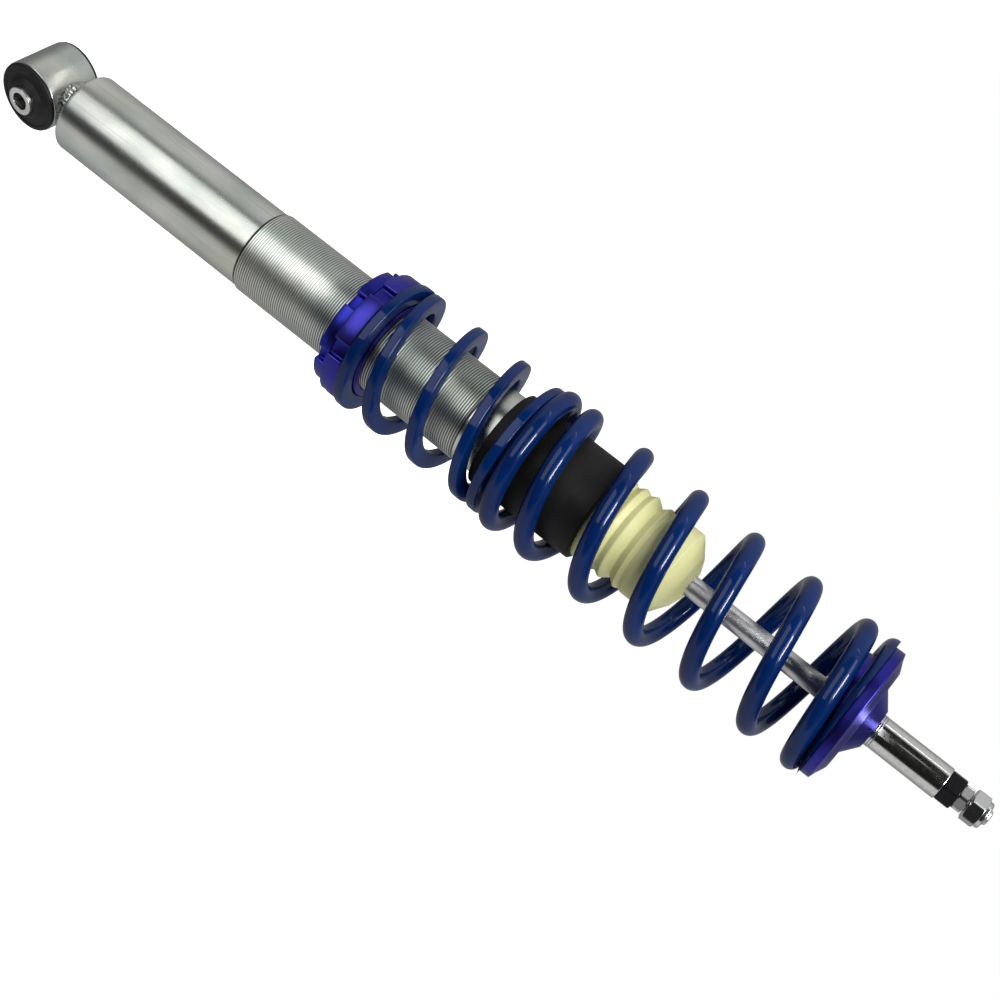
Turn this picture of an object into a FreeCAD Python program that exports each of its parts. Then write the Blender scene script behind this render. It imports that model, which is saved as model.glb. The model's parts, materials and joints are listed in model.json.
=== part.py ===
import FreeCAD, Part
import math
import os

# Coil-over strut, rear type. Millimetres. The strut's axis is +Z; the origin is the centre of
# the lower eye's bore, whose axis is Y. The piston rod's threaded end is at the top.

V = FreeCAD.Vector
AXIS = V(0, 0, 1)

# ---- driving dimensions -------------------------------------------------------------------
# lower eye
EYE_R = 21.0            # ring, outside
EYE_BORE_R = 17.0       # ring, inside (rubber)
EYE_LENGTH = 34.0
BUSH_FLANGE_R = 20.6
BUSH_FLANGE = 2.0
BUSH_HUB_R = 13.5       # rubber cone at the flange
BUSH_HUB_TOP_R = 10.2   # rubber cone at its end
EYE_SLEEVE_R = 8.5
EYE_SLEEVE_BORE_R = 5.25
EYE_SLEEVE_LENGTH = 50.0
BUSH_LENGTH = 46.0

# body tube
BODY_R = 25.0
BODY_IN_R = 23.0
THREAD_R = 26.0         # major radius of the rolled M52 x 1.5 thread
BASE_Z = 28.8           # lowest face of the base cap
CAP_RIM = 3.2           # height of the cap's outer rim
CAP_DEPTH = 5.0         # height of the spigot inside the tube
BOSS_R = 11.0           # boss of the base cap, welded to the eye
THREAD_START = 171.5
THREAD_END = 335.0
BODY_TOP = 400.0
THREAD_RUNOUT = 1.5

# damper internals
PRESSURE_R = 17.0
PRESSURE_IN_R = 15.0
GUIDE_Z = 374.0         # shoulder of the rod guide, on the pressure tube's end
GUIDE_HEIGHT = 14.0
SEAL_HEIGHT = 6.0
ROD_R = 6.0
STUD_R = 5.0            # M10 thread at both ends of the rod
RUN = 0.05              # radial running clearance
PISTON_Z = 316.0
PISTON_HEIGHT = 14.0
PISTON_R = 14.6
STOP_Z = 349.0
STOP_HEIGHT = 6.0
BUMPER_TOP = 365.6

# collars
LOCK_Z = 243.4
LOCK_HEIGHT = 7.9
LOCK_R = 36.3
LOCK_NOTCH_R = 32.4
LOCK_NOTCH_WIDTH = 9.0
LOCK_PHASE = 25.5       # degrees, first notch
PERCH_Z = 251.4
SEAT_Z = 262.0          # face that carries the helper spring
PERCH_R = 40.0
PERCH_NOTCH_R = 36.0
PERCH_NOTCH_WIDTH = 10.0
PERCH_PHASE = 7.5
NOTCHES = 6
SPIGOT_R = 30.6
SPIGOT_HEIGHT = 7.0

# springs; a turn is counted from the line of azimuth FRONT
FRONT = 220.0           # degrees
HELPER_MEAN_R = 36.0
HELPER_RADIAL = 10.0    # rectangular wire, across
HELPER_AXIAL = 6.0      # rectangular wire, along the axis
HELPER_PITCH = 31.0
HELPER_TIPS = (-0.28, 4.38)
HELPER_RISE = (0.5, 3.6)
MAIN_WIRE_R = 5.5
MAIN_MEAN_R = 38.6
MAIN_PITCH = 37.3
MAIN_CLOSED_PITCH = 10.9
MAIN_TIPS = (-0.6, 7.3)
MAIN_RISE = (0.15, 1.2, 5.38, 6.42)
MAIN_FIRST_Z = 370.6    # wire centre where it first passes azimuth FRONT
MAIN_BASE_Z = 364.1     # ground face on the helper spring
MAIN_TOP_Z = 583.2      # ground face under the upper perch

# dust tube and bump stop
DUST_R = 29.3
DUST_IN_R = 27.5
DUST_Z = (350.0, 419.0)
DUST_LIP_R = 23.0
DUST_LIP = 2.5
STOP_BORE_R = 6.4

# upper end
UP_PERCH_R = 40.4
UP_SPIGOT_R = 30.0
UP_SPIGOT_IN_R = 27.0
UP_SPIGOT_Z = 574.0
SHOULDER_Z = 586.0      # rod shoulder that carries the upper perch
HUB_Z = 599.8
WASHER_R = 9.6
WASHER_THICKNESS = 1.2
SLEEVE_R = 9.4
SLEEVE_LENGTH = 41.0
CLAMP_NUT_AF = 17.0
CLAMP_NUT_HEIGHT = 9.0
JAM_NUT_AF = 14.0
JAM_NUT_HEIGHT = 5.3
NUT_GAP = 1.0
NYLOC_AF = 17.0
NYLOC_HEX = 8.1
NYLOC_COLLAR = 2.5
NYLOC_COLLAR_R = 7.7
ROD_TOP = 671.0


# ---- helpers ------------------------------------------------------------------------------
def turned(profile):
    """Solid of revolution about Z of a closed (radius, z) outline."""
    points = [V(r, 0, z) for r, z in profile]
    face = Part.Face(Part.makePolygon(points + points[:1]))
    return face.revolve(V(0, 0, 0), AXIS, 360)


def ring(r_out, r_in, z0, z1, edge=0.0):
    """Plain ring with its two outer edges chamfered by edge."""
    if edge == 0.0:
        return turned([(r_in, z0), (r_out, z0), (r_out, z1), (r_in, z1)])
    return turned([(r_in, z0), (r_out - edge, z0), (r_out, z0 + edge),
                   (r_out, z1 - edge), (r_out - edge, z1), (r_in, z1)])


def across(r, length):
    """Cylinder about Y, centred on the origin."""
    return Part.makeCylinder(r, length, V(0, -length / 2, 0), V(0, 1, 0))


def turn_about(shape, degrees):
    """Copy of a shape turned about Z."""
    copy = shape.copy()
    copy.rotate(V(0, 0, 0), AXIS, degrees)
    return copy


def notched(body, floor_r, width, phase, z0, z1):
    """Cut evenly spaced rectangular spanner notches down to floor_r."""
    reach = 20.0
    cutter = Part.makeBox(reach, width, z1 - z0 + 2, V(floor_r, -width / 2, z0 - 1))
    for i in range(NOTCHES):
        body = body.cut(turn_about(cutter, phase + i * 360 / NOTCHES))
    return body


def ported(body, ports, port_r, circle_r, z0, z1):
    """Drill a circle of axial ports."""
    drill = Part.makeCylinder(port_r, z1 - z0 + 2, V(circle_r, 0, z0 - 1))
    for i in range(ports):
        body = body.cut(turn_about(drill, i * 360 / ports))
    return body


def hexagon(across_flats, z0, z1, phase=0.0):
    """Hexagonal prism about Z."""
    corner_r = across_flats / math.sqrt(3)
    points = []
    for i in range(6):
        a = math.radians(60 * i + phase)
        points.append(V(corner_r * math.cos(a), corner_r * math.sin(a), z0))
    return Part.Face(Part.makePolygon(points + points[:1])).extrude(V(0, 0, z1 - z0))


def hex_nut(across_flats, z0, z1, bore_r, phase=0.0):
    """Nut with its corners chamfered at 30 degrees at both ends."""
    corner_r = across_flats / math.sqrt(3)
    flat_r = across_flats / 2 * 0.97
    drop = (corner_r - flat_r) * math.tan(math.radians(30))
    dome = turned([(bore_r, z0), (flat_r, z0), (corner_r, z0 + drop),
                   (corner_r, z1 - drop), (flat_r, z1), (bore_r, z1)])
    return hexagon(across_flats, z0, z1, phase).common(dome)


def ramp(x, x0, x1):
    """Integral from x0 of a slope that grows evenly from 0 at x0 to 1 at x1."""
    if x <= x0:
        return 0.0
    if x <= x1:
        return (x - x0) ** 2 / (2 * (x1 - x0))
    return x - (x0 + x1) / 2


def coil_path(height, tips, mean_r, per_turn=16):
    """Smooth wire centre line; height gives z for a turn count."""
    steps = int(math.ceil((tips[1] - tips[0]) * per_turn))
    points = []
    for i in range(steps + 1):
        turn = tips[0] + (tips[1] - tips[0]) * i / steps
        a = math.radians(FRONT + 360 * turn)
        points.append(V(mean_r * math.cos(a), mean_r * math.sin(a), height(turn)))
    curve = Part.BSplineCurve()
    curve.interpolate(points)
    return curve


def swept(curve, section, upright):
    """Sweep a closed section along a coil; upright keeps its flat sides square to the axis."""
    pipe = Part.BRepOffsetAPI.MakePipeShell(Part.Wire(curve.toShape()))
    if upright:
        pipe.setBiNormalMode(AXIS)
    else:
        pipe.setFrenetMode(True)
    pipe.add(section)
    pipe.build()
    pipe.makeSolid()
    return pipe.shape()


def ground(coil, z0, z1):
    """Grind both ends of a coil flat."""
    room = MAIN_MEAN_R + 2 * MAIN_WIRE_R
    return coil.common(Part.makeCylinder(room, z1 - z0, V(0, 0, z0)))


# ---- lower eye ----------------------------------------------------------------------------
def eye_ring():
    return across(EYE_R, EYE_LENGTH).cut(across(EYE_BORE_R, EYE_LENGTH + 2))


def eye_rubber_bush():
    half = EYE_LENGTH / 2
    face = half + BUSH_FLANGE
    end = BUSH_LENGTH / 2
    half_outline = [(EYE_BORE_R, half), (BUSH_FLANGE_R, half), (BUSH_FLANGE_R, face - 0.6),
                    (BUSH_FLANGE_R - 0.6, face), (BUSH_HUB_R, face),
                    (BUSH_HUB_TOP_R, end), (EYE_SLEEVE_R, end)]
    outline = half_outline + [(r, -z) for r, z in reversed(half_outline)]
    bush = turned(outline)
    bush.rotate(V(0, 0, 0), V(1, 0, 0), 90)
    return bush


def eye_inner_sleeve():
    return across(EYE_SLEEVE_R, EYE_SLEEVE_LENGTH).cut(
        across(EYE_SLEEVE_BORE_R, EYE_SLEEVE_LENGTH + 2))


def eye_weld():
    top_r = 16.5
    low_r = 14.0
    low_z = 14.0
    bead = turned([(BOSS_R, low_z), (low_r, low_z), (top_r, BASE_Z - 3),
                   (top_r, BASE_Z), (BOSS_R, BASE_Z)])
    return bead.cut(across(EYE_R, 2 * EYE_R))


# ---- body ---------------------------------------------------------------------------------
def base_cap():
    corner = 2.4
    rim_top = BASE_Z + CAP_RIM
    cap = turned([(0, BASE_Z), (BODY_R - corner, BASE_Z),
                  (BODY_R - corner * 0.3, BASE_Z + corner * 0.3),
                  (BODY_R, BASE_Z + corner), (BODY_R, rim_top), (BODY_IN_R, rim_top),
                  (BODY_IN_R, rim_top + CAP_DEPTH), (0, rim_top + CAP_DEPTH)])
    boss = Part.makeCylinder(BOSS_R, BASE_Z - 10, V(0, 0, 10)).cut(across(EYE_R, 2 * EYE_R))
    return cap.fuse(boss).removeSplitter()


def body_tube():
    rim_top = BASE_Z + CAP_RIM
    outline = [(BODY_IN_R, rim_top), (BODY_R, rim_top), (BODY_R, THREAD_START),
               (THREAD_R, THREAD_START + THREAD_RUNOUT), (THREAD_R, THREAD_END - THREAD_RUNOUT),
               (BODY_R + 0.4, THREAD_END), (BODY_R + 0.4, BODY_TOP - 1),
               (BODY_R - 0.6, BODY_TOP), (BODY_IN_R, BODY_TOP)]
    return turned(outline)


def base_valve_body():
    foot = BASE_Z + CAP_RIM + CAP_DEPTH
    seat = foot + 3.5
    top = seat + 8.0
    valve = turned([(3.0, foot + 2), (12.0, foot + 2), (12.0, foot), (PRESSURE_R, foot),
                    (PRESSURE_R, seat), (PRESSURE_IN_R, seat), (PRESSURE_IN_R, top),
                    (3.0, top)])
    return ported(valve, 6, 1.5, 8.0, foot, top)


def base_valve_discs():
    top = BASE_Z + CAP_RIM + CAP_DEPTH + 11.5
    discs = [ring(r, 3.0, top + i * 0.5, top + i * 0.5 + 0.4) for i, r in
             enumerate((10.5, 8.5, 6.5))]
    return Part.makeCompound(discs)


def base_valve_bolt():
    foot = BASE_Z + CAP_RIM + CAP_DEPTH
    stem = Part.makeCylinder(3.0, 13.4, V(0, 0, foot + 2))
    head = hexagon(9.0, foot + 13.1, foot + 16.5)
    return stem.fuse(head).removeSplitter()


def pressure_tube():
    return ring(PRESSURE_R, PRESSURE_IN_R, BASE_Z + CAP_RIM + CAP_DEPTH + 3.5, GUIDE_Z)


def rod_guide():
    spigot = 7.0
    bore = ROD_R + 1.0
    top = GUIDE_Z + GUIDE_HEIGHT
    groove = GUIDE_Z + 6.0
    return turned([(bore, GUIDE_Z - spigot), (PRESSURE_IN_R, GUIDE_Z - spigot),
                   (PRESSURE_IN_R, GUIDE_Z), (BODY_IN_R, GUIDE_Z), (BODY_IN_R, groove),
                   (BODY_IN_R - 2, groove), (BODY_IN_R - 2, groove + 2.6),
                   (BODY_IN_R, groove + 2.6), (BODY_IN_R, top), (bore, top)])


def guide_o_ring():
    groove = GUIDE_Z + 6.0
    return ring(BODY_IN_R, BODY_IN_R - 2, groove, groove + 2.6, 0.7)


def guide_bush():
    return ring(ROD_R + 1.0, ROD_R + RUN, GUIDE_Z - 7, GUIDE_Z + GUIDE_HEIGHT)


def rod_seal():
    z0 = GUIDE_Z + GUIDE_HEIGHT
    return turned([(ROD_R + 2.5, z0), (15.0, z0), (15.0, z0 + SEAL_HEIGHT),
                   (ROD_R + RUN, z0 + SEAL_HEIGHT), (ROD_R + RUN, z0 + SEAL_HEIGHT - 2),
                   (ROD_R + 1.2, z0 + 2.5)])


def closing_cap():
    z0 = GUIDE_Z + GUIDE_HEIGHT
    z1 = z0 + SEAL_HEIGHT
    return turned([(15.0, z0), (BODY_IN_R, z0), (BODY_IN_R, BODY_TOP),
                   (ROD_R + 0.8, BODY_TOP), (ROD_R + 0.8, z1), (15.0, z1)])


# ---- rod and piston -----------------------------------------------------------------------
def piston_rod():
    seat = PISTON_Z + PISTON_HEIGHT + 2.0
    low = PISTON_Z - 12.0
    return turned([(0, low), (STUD_R - 0.8, low), (STUD_R, low + 0.8), (STUD_R, seat),
                   (ROD_R, seat), (ROD_R, SHOULDER_Z), (STUD_R, SHOULDER_Z),
                   (STUD_R, ROD_TOP - 1), (STUD_R - 1, ROD_TOP), (0, ROD_TOP)])


def piston():
    top = PISTON_Z + PISTON_HEIGHT
    groove = PISTON_Z + 3.0
    body = turned([(STUD_R, PISTON_Z), (PISTON_R - 1, PISTON_Z), (PISTON_R, PISTON_Z + 1),
                   (PISTON_R, groove), (PISTON_R - 1.5, groove), (PISTON_R - 1.5, groove + 8),
                   (PISTON_R, groove + 8), (PISTON_R, top - 1), (PISTON_R - 1, top),
                   (STUD_R, top)])
    return ported(body, 8, 1.3, 9.5, PISTON_Z, top)


def piston_band():
    groove = PISTON_Z + 3.0
    return ring(PRESSURE_IN_R - RUN, PISTON_R - 1.5, groove, groove + 8)


def piston_discs():
    top = PISTON_Z + PISTON_HEIGHT
    discs = []
    for i, r in enumerate((12.0, 10.0, 8.0)):
        discs.append(ring(r, STUD_R, top + 0.6 * i, top + 0.6 * i + 0.5))
        discs.append(ring(r, STUD_R, PISTON_Z - 0.6 * i - 0.5, PISTON_Z - 0.6 * i))
    return Part.makeCompound(discs)


def piston_nut():
    return hex_nut(16.0, PISTON_Z - 10.0, PISTON_Z - 2.0, STUD_R)


def rebound_stop():
    return ring(11.0, ROD_R, STOP_Z, STOP_Z + STOP_HEIGHT, 1.0)


def rebound_bumper():
    return ring(10.0, ROD_R, STOP_Z + STOP_HEIGHT, BUMPER_TOP, 2.0)


# ---- adjustable collars -------------------------------------------------------------------
def lock_ring():
    body = ring(LOCK_R, THREAD_R + RUN, LOCK_Z, LOCK_Z + LOCK_HEIGHT, 0.8)
    return notched(body, LOCK_NOTCH_R, LOCK_NOTCH_WIDTH, LOCK_PHASE, LOCK_Z,
                   LOCK_Z + LOCK_HEIGHT)


def lower_perch():
    bore = THREAD_R + RUN
    edge = 0.8
    body = turned([(bore, PERCH_Z), (PERCH_R - edge, PERCH_Z), (PERCH_R, PERCH_Z + edge),
                   (PERCH_R, SEAT_Z - edge), (PERCH_R - edge, SEAT_Z), (SPIGOT_R, SEAT_Z),
                   (SPIGOT_R, SEAT_Z + SPIGOT_HEIGHT - edge),
                   (SPIGOT_R - edge, SEAT_Z + SPIGOT_HEIGHT), (bore, SEAT_Z + SPIGOT_HEIGHT)])
    return notched(body, PERCH_NOTCH_R, PERCH_NOTCH_WIDTH, PERCH_PHASE, PERCH_Z,
                   SEAT_Z + SPIGOT_HEIGHT)


# ---- springs ------------------------------------------------------------------------------
def helper_height(turn):
    rise = ramp(turn, HELPER_RISE[0] - 0.1, HELPER_RISE[0] + 0.1)
    rise -= ramp(turn, HELPER_RISE[1] - 0.1, HELPER_RISE[1] + 0.1)
    return SEAT_Z + HELPER_AXIAL / 2 + HELPER_PITCH * rise


def main_height(turn):
    extra = ramp(turn, MAIN_RISE[0], MAIN_RISE[1]) - ramp(turn, MAIN_RISE[2], MAIN_RISE[3])
    return MAIN_FIRST_Z + MAIN_CLOSED_PITCH * turn + (MAIN_PITCH - MAIN_CLOSED_PITCH) * extra


def helper_spring():
    curve = coil_path(helper_height, HELPER_TIPS, HELPER_MEAN_R)
    z = helper_height(HELPER_TIPS[0])
    radial = HELPER_RADIAL / 2
    axial = HELPER_AXIAL / 2
    corner = 1.2
    outline = [(radial, -axial + corner), (radial, axial - corner), (radial - corner, axial),
               (-radial + corner, axial), (-radial, axial - corner), (-radial, -axial + corner),
               (-radial + corner, -axial), (radial - corner, -axial)]
    points = [V(HELPER_MEAN_R + dr, 0, z + dz) for dr, dz in outline]
    section = Part.makePolygon(points + points[:1])
    section.rotate(V(0, 0, 0), AXIS, FRONT + 360 * HELPER_TIPS[0])
    return ground(swept(curve, section, True), SEAT_Z, MAIN_BASE_Z)


def main_spring():
    curve = coil_path(main_height, MAIN_TIPS, MAIN_MEAN_R)
    start = curve.value(curve.FirstParameter)
    tangent = curve.tangent(curve.FirstParameter)[0]
    section = Part.Wire(Part.makeCircle(MAIN_WIRE_R, start, tangent))
    return ground(swept(curve, section, False), MAIN_BASE_Z, MAIN_TOP_Z)


# ---- dust tube and bump stop --------------------------------------------------------------
def dust_tube():
    z0, z1 = DUST_Z
    return turned([(DUST_IN_R, z0), (DUST_R, z0), (DUST_R, z1 - 1.5), (DUST_R - 1.5, z1),
                   (DUST_LIP_R, z1), (DUST_LIP_R, z1 - DUST_LIP), (DUST_IN_R, z1 - DUST_LIP)])


def bump_stop():
    lip_low = DUST_Z[1] - DUST_LIP
    lip_top = DUST_Z[1]
    return turned([(STOP_BORE_R, BODY_TOP), (22.0, BODY_TOP), (26.0, BODY_TOP + 4),
                   (26.0, lip_low), (DUST_LIP_R, lip_low), (DUST_LIP_R, lip_top),
                   (26.2, lip_top), (27.0, 422.5), (24.2, 426.6), (27.0, 430.8),
                   (25.0, 434.4), (27.0, 438.2), (22.6, 444.0), (26.2, 447.8),
                   (25.0, 450.4), (26.0, 453.0), (26.0, 470.0), (15.5, 477.6),
                   (9.5, 480.0), (STOP_BORE_R, 480.0)])


# ---- upper end ----------------------------------------------------------------------------
def upper_perch():
    bore = STUD_R + RUN
    rim_top = MAIN_TOP_Z + 5.7
    step = 592.7
    return turned([(bore, SHOULDER_Z), (UP_SPIGOT_IN_R, SHOULDER_Z),
                   (UP_SPIGOT_IN_R, UP_SPIGOT_Z), (UP_SPIGOT_R - 1, UP_SPIGOT_Z),
                   (UP_SPIGOT_R, UP_SPIGOT_Z + 1), (UP_SPIGOT_R, MAIN_TOP_Z),
                   (UP_PERCH_R - 0.5, MAIN_TOP_Z), (UP_PERCH_R, MAIN_TOP_Z + 0.5),
                   (UP_PERCH_R, rim_top - 0.5), (UP_PERCH_R - 0.5, rim_top), (36.5, rim_top + 1.2),
                   (32.5, step - 0.8), (30.5, step), (21.0, step), (11.5, HUB_Z), (bore, HUB_Z)])


def thrust_washers():
    washers = [ring(WASHER_R, STUD_R + RUN, HUB_Z + i * WASHER_THICKNESS,
                    HUB_Z + (i + 1) * WASHER_THICKNESS, 0.2) for i in range(2)]
    return Part.makeCompound(washers)


def spacer_sleeve():
    z0 = HUB_Z + 2 * WASHER_THICKNESS
    return ring(SLEEVE_R, STUD_R + RUN, z0, z0 + SLEEVE_LENGTH, 0.6)


def nut_stack():
    """Heights of the clamp nut, the jam nut and the nyloc nut."""
    clamp = HUB_Z + 2 * WASHER_THICKNESS + SLEEVE_LENGTH
    jam = clamp + CLAMP_NUT_HEIGHT
    nyloc = jam + JAM_NUT_HEIGHT + NUT_GAP
    return clamp, jam, nyloc


def clamp_nut():
    z = nut_stack()[0]
    return hex_nut(CLAMP_NUT_AF, z, z + CLAMP_NUT_HEIGHT, STUD_R, 15.0)


def jam_nut():
    z = nut_stack()[1]
    return hex_nut(JAM_NUT_AF, z, z + JAM_NUT_HEIGHT, STUD_R, 10.0)


def nyloc_nut():
    z = nut_stack()[2]
    top = z + NYLOC_HEX
    collar = turned([(STUD_R + 1.6, top - 2.7), (NYLOC_COLLAR_R, top - 2.7),
                     (NYLOC_COLLAR_R, top + NYLOC_COLLAR - 1),
                     (NYLOC_COLLAR_R - 1, top + NYLOC_COLLAR),
                     (STUD_R + 0.6, top + NYLOC_COLLAR),
                     (STUD_R + 0.6, top + NYLOC_COLLAR - 0.6),
                     (STUD_R + 1.6, top + NYLOC_COLLAR - 0.6)])
    nut = hex_nut(NYLOC_AF, z, top, STUD_R, 0.0)
    pocket = ring(STUD_R + 1.6, STUD_R - 1, top - 2.7, top + 1)
    return nut.cut(pocket).fuse(collar).removeSplitter()


def nylon_insert():
    top = nut_stack()[2] + NYLOC_HEX
    return ring(STUD_R + 1.6, STUD_R, top - 2.7, top + NYLOC_COLLAR - 0.6)


PIECES = (eye_ring, eye_rubber_bush, eye_inner_sleeve, eye_weld, base_cap, body_tube,
          base_valve_body, base_valve_discs, base_valve_bolt, pressure_tube, rod_guide,
          guide_o_ring, guide_bush, rod_seal, closing_cap, piston_rod, piston, piston_band,
          piston_discs, piston_nut, rebound_stop, rebound_bumper, lock_ring, lower_perch,
          helper_spring, main_spring, dust_tube, bump_stop, upper_perch, thrust_washers,
          spacer_sleeve, clamp_nut, jam_nut, nyloc_nut, nylon_insert)

os.makedirs("parts", exist_ok=True)
for piece in PIECES:
    shape = piece()
    box = shape.optimalBoundingBox()
    print(f"{piece.__name__:18s} solids {len(shape.Solids)} valid {shape.isValid()} "
          f"volume {shape.Volume:10.1f} z {box.ZMin:8.2f} {box.ZMax:8.2f} "
          f"faces {len(shape.Faces)}")
    shape.exportStep(f"parts/{piece.__name__}.step")
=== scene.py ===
import json
import math

import bmesh
import bpy
from mathutils import Matrix, Vector
from mathutils.geometry import tessellate_polygon


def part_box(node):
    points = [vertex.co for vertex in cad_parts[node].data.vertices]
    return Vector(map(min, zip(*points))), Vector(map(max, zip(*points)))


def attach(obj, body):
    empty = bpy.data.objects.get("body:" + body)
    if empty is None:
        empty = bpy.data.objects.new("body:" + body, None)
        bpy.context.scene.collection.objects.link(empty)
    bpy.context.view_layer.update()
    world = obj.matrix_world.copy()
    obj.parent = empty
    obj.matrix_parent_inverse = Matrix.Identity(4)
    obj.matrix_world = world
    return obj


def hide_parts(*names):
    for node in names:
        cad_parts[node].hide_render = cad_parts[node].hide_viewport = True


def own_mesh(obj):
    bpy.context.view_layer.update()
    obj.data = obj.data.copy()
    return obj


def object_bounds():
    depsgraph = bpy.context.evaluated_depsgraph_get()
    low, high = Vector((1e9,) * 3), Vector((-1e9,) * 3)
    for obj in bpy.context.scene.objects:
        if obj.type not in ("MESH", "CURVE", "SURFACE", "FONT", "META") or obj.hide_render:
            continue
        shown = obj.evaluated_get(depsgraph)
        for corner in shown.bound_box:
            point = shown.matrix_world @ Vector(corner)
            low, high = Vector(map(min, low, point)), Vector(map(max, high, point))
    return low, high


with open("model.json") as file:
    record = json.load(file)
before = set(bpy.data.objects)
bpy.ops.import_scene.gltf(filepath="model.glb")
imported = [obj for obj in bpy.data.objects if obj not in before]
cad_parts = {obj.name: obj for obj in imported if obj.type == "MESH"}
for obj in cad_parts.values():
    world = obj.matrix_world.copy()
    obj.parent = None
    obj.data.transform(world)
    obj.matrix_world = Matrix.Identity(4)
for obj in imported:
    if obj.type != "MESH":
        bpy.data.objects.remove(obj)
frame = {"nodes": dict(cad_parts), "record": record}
cad_low, cad_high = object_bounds()
scene = bpy.context.scene

# The visual model of a coil-over strut, in metres. The strut's axis is +Z and the origin is
# the centre of the lower eye, whose own axis is Y. An outline is a list of (r, z) points, or
# of (r, z, fillet) corners before rounded() has turned it into points.

MM = 0.001
TAU = 2 * math.pi
FRONT = math.radians(220)        # azimuth that faces the camera; coil turns count from it

ROUND = 128                      # columns round a large turned piece
SMALL_ROUND = 72
NUT_ROUND = 96
COIL_STEPS = 96                  # rings of wire in one turn of a spring

BODY_PITCH = 1.5 * MM            # thread on the body
BODY_DEPTH = 0.62 * MM
THREAD_LOW = 171.5 * MM          # heights between which the body is threaded
THREAD_HIGH = 335.0 * MM
# mesh rows in one turn of a thread: (share of the pitch, share of the depth)
THREAD_ROWS = ((0.0, 1.0), (0.12, 0.54), (0.24, 0.08), (0.32, 0.0), (0.68, 0.0),
               (0.76, 0.08), (0.88, 0.54))

EYE_WALL = 4.0 * MM
WELD_BORE = 11.0 * MM            # inside radius of the weld bead
TUBE_BORE = 23.0 * MM
STUD_R = 5.0 * MM                # the rod's reduced and threaded ends
STUD_BORE = 5.05 * MM            # bore of what sits on them
ROD_SHOULDER = 586.0 * MM        # height of the rod's upper shoulder
NOTCHES = 6                      # spanner notches round a collar


def span(node):
    """Largest radius about Z, lowest z and highest z of a CAD node."""
    low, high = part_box(node)
    radius = max(-low.x, -low.y, high.x, high.y)
    return radius, low.z, high.z


# ---- outlines -----------------------------------------------------------------------------
def rounded(corners, steps=4):
    """Closed outline from (r, z, fillet) corners; each fillet becomes an arc."""
    points = []
    count = len(corners)
    for i, (r, z, fillet) in enumerate(corners):
        here = Vector((r, z))
        before = Vector(corners[i - 1][:2]) - here
        after = Vector(corners[(i + 1) % count][:2]) - here
        if fillet <= 0 or before.length < 1e-9 or after.length < 1e-9:
            points.append((r, z))
            continue
        before_way, after_way = before.normalized(), after.normalized()
        angle = before_way.angle(after_way)
        if angle > math.radians(178):
            points.append((r, z))
            continue
        reach = min(fillet / math.tan(angle / 2), 0.49 * before.length, 0.49 * after.length)
        radius = reach * math.tan(angle / 2)
        centre = here + (before_way + after_way).normalized() * (radius / math.sin(angle / 2))
        start = here + before_way * reach - centre
        turn = start.angle_signed(here + after_way * reach - centre)
        for k in range(steps + 1):
            arm = start.copy()
            arm.rotate(Matrix.Rotation(-turn * k / steps, 2))
            points.append(tuple(centre + arm))
    return points


def ring_outline(r_out, r_in, z0, z1, outer=0.4 * MM, inner=0.25 * MM):
    """Outline of a plain ring with its outer and inner edges rounded."""
    return rounded([(r_in, z0, inner), (r_out, z0, outer), (r_out, z1, outer),
                    (r_in, z1, inner)])


# ---- mesh builders ------------------------------------------------------------------------
def make(name, verts, faces, body, nodes, slot, sharp=32):
    """A piece from points and faces: welded, facing outwards, shaded, placed and named."""
    mesh = bpy.data.meshes.new(name)
    mesh.from_pydata([tuple(v) for v in verts], [], faces)
    work = bmesh.new()
    work.from_mesh(mesh)
    bmesh.ops.remove_doubles(work, verts=work.verts, dist=2e-7)
    bmesh.ops.dissolve_degenerate(work, edges=work.edges, dist=1e-7)
    bmesh.ops.recalc_face_normals(work, faces=work.faces)
    work.to_mesh(mesh)
    work.free()
    mesh.shade_smooth()
    mesh.set_sharp_from_angle(angle=math.radians(sharp))
    mesh.materials.append(SHADES[slot])
    piece = bpy.data.objects.new(name, mesh)
    scene.collection.objects.link(piece)
    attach(piece, body)
    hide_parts(*nodes)
    return piece


def polar(r, angle, z):
    """The point at a radius, an angle about Z and a height."""
    return Vector((r * math.cos(angle), r * math.sin(angle), z))


def band(low, high, count):
    """Faces between two closed loops of vertices, whose first numbers are low and high."""
    faces = []
    for j in range(count):
        n = (j + 1) % count
        faces.append((low + j, low + n, high + n, high + j))
    return faces


def revolve(outline, columns=ROUND, closed=True, first=0):
    """An (r, z) outline turned about Z; its vertices are numbered from first."""
    verts, faces = [], []
    for r, z in outline:
        verts += [polar(r, TAU * j / columns, z) for j in range(columns)]
    rows = len(outline)
    for i in range(rows if closed else rows - 1):
        faces += band(first + i * columns, first + (i + 1) % rows * columns, columns)
    return verts, faces


def about_y(verts):
    """Turn a shape made about Z so that it stands about Y."""
    return [Vector((v.x, -v.z, v.y)) for v in verts]


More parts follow.
